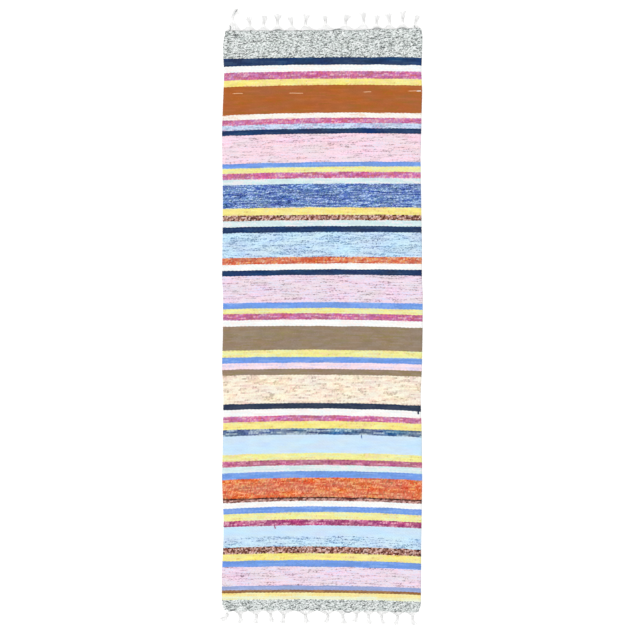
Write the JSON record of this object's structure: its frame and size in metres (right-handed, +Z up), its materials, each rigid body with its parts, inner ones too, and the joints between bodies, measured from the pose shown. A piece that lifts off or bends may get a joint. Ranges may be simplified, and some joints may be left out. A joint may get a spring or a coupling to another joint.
{
  "type": "rag rug runner",
  "caption": "Long flat-woven rag rug runner with cross stripes and a knotted white warp fringe at both ends, laid flat on a floor to cover and soften it.",
  "frame": {"origin": "middle of the cloth's underside, on the surface that the rug lies on", "axes": "+X across the rug along the weft, +Y along the warp towards the far end, +Z up"},
  "size_m": [0.7146, 2.1805, 0.006],
  "materials": {
    "rag_weave": "matt weft-faced plain weave of cotton rag strips in cross stripes",
    "warp_cotton": "matt twisted white cotton warp yarn"
  },
  "bodies": {
    "root": {"woven_cloth": "rag_weave", "fringe_far": "warp_cotton", "fringe_near": "warp_cotton"}
  },
  "joints": []
}
